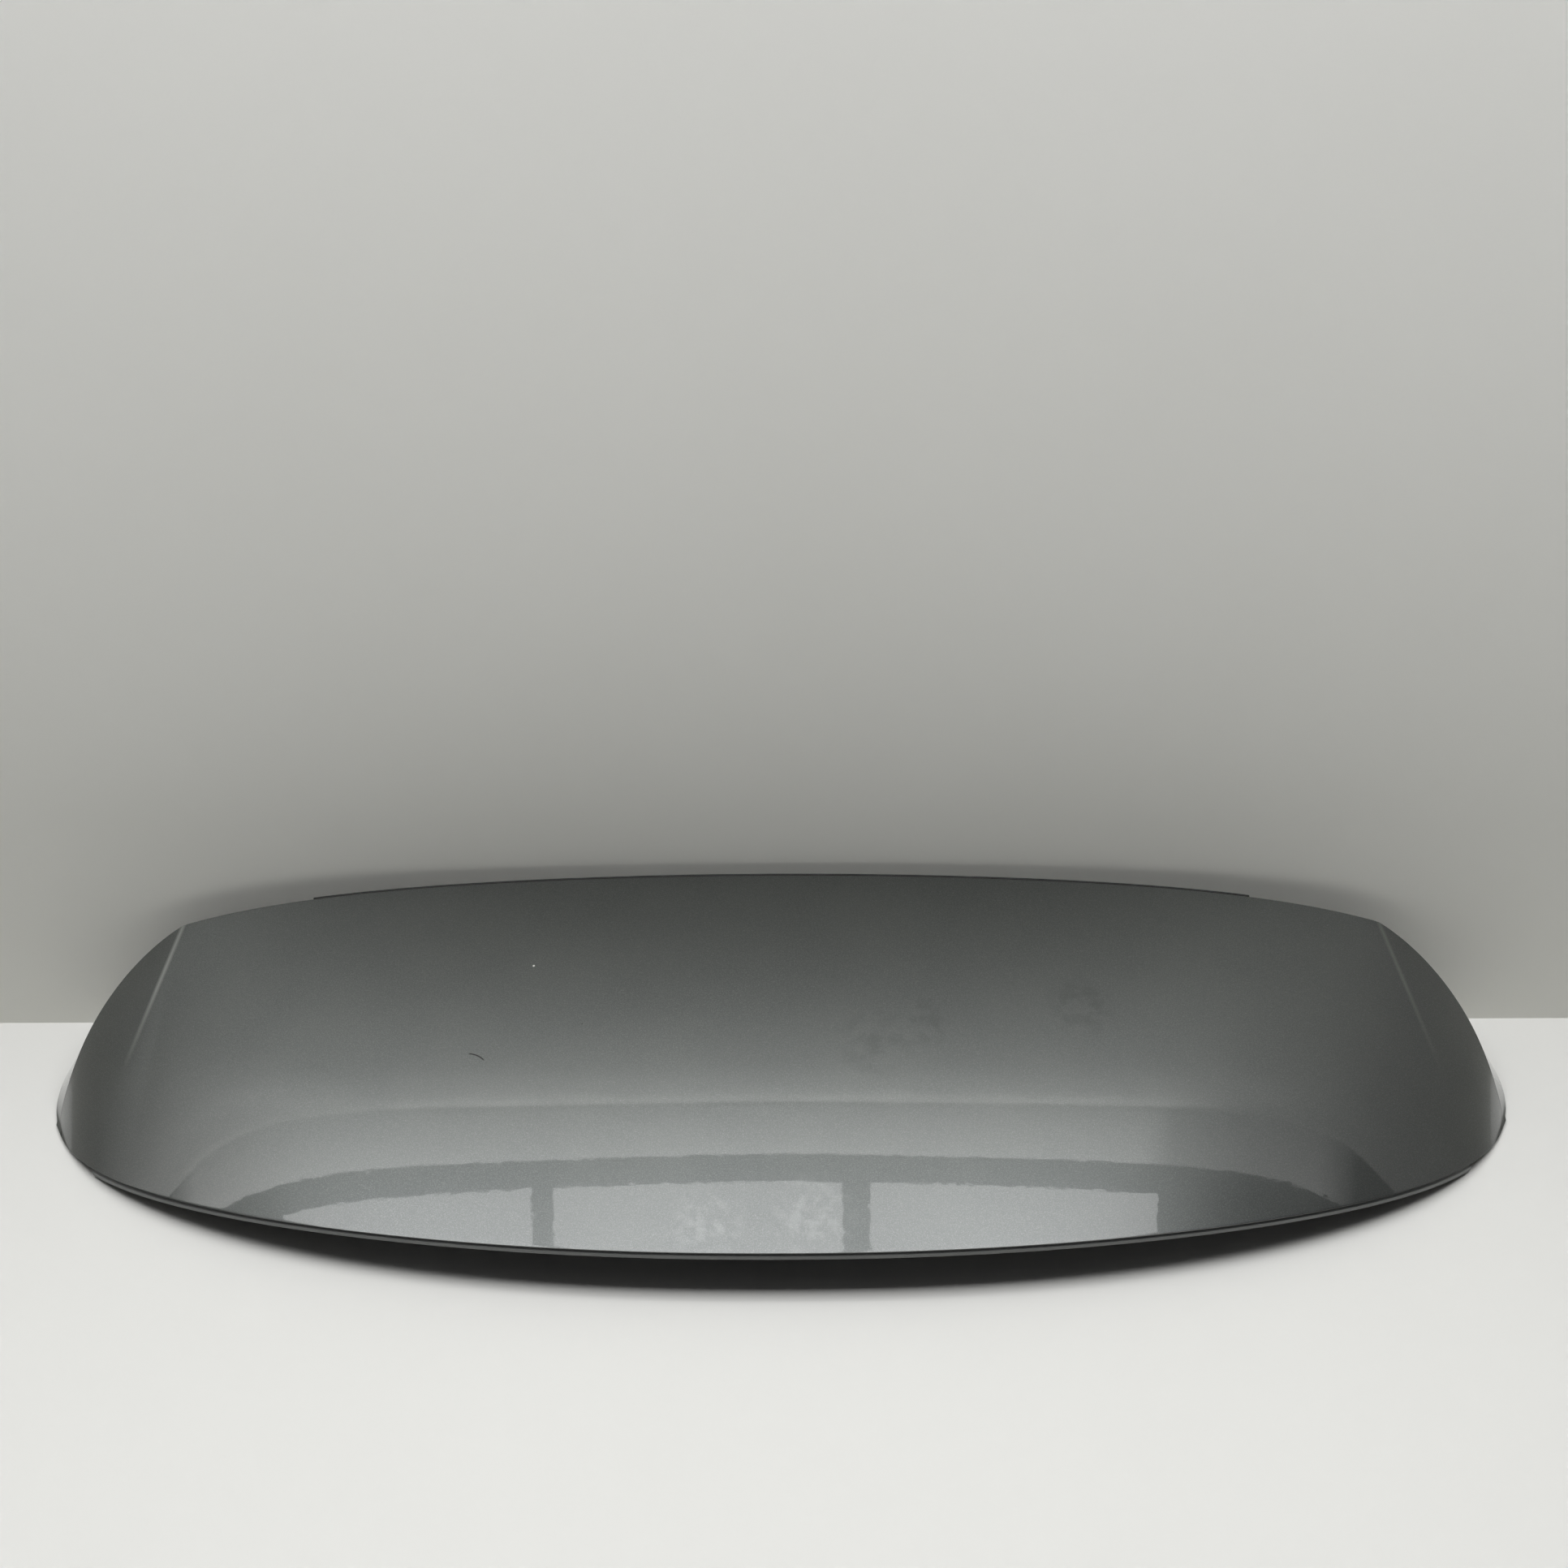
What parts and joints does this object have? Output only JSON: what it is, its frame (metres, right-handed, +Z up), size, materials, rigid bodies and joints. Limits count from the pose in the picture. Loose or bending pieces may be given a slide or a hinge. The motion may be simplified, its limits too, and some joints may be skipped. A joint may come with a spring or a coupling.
{
  "type": "tailgate spoiler",
  "caption": "Wide curved tailgate spoiler: a painted outer shell with drooping wing tips, bonded to a dished black inner shell with studs and clips.",
  "frame": {"origin": "middle of the bottom of the part's box, as it rests with its wing tips on a table", "axes": "+X across the car, +Y from the trailing edge to the leading edge (towards the roof), +Z up"},
  "size_m": [1.18, 0.3074, 0.1556],
  "materials": {
    "body_paint": "metallic grey paint under a glossy clear coat",
    "black_plastic": "fine moulded grain",
    "adhesive": "dull cured adhesive",
    "seal_rubber": "smooth matt rubber",
    "zinc_steel": "zinc plated",
    "foam_rubber": "closed-cell foam",
    "clip_nylon": "natural nylon"
  },
  "bodies": {
    "root": {"outer_shell": "body_paint", "inner_shell": "black_plastic", "adhesive_bead": "adhesive", "leading_edge_seal": "seal_rubber", "mounting_studs": "zinc_steel", "stud_seals": "foam_rubber", "retaining_clips": "clip_nylon", "shell_screws": "zinc_steel", "wing_pad_left": "foam_rubber", "wing_pad_right": "foam_rubber"}
  },
  "joints": []
}
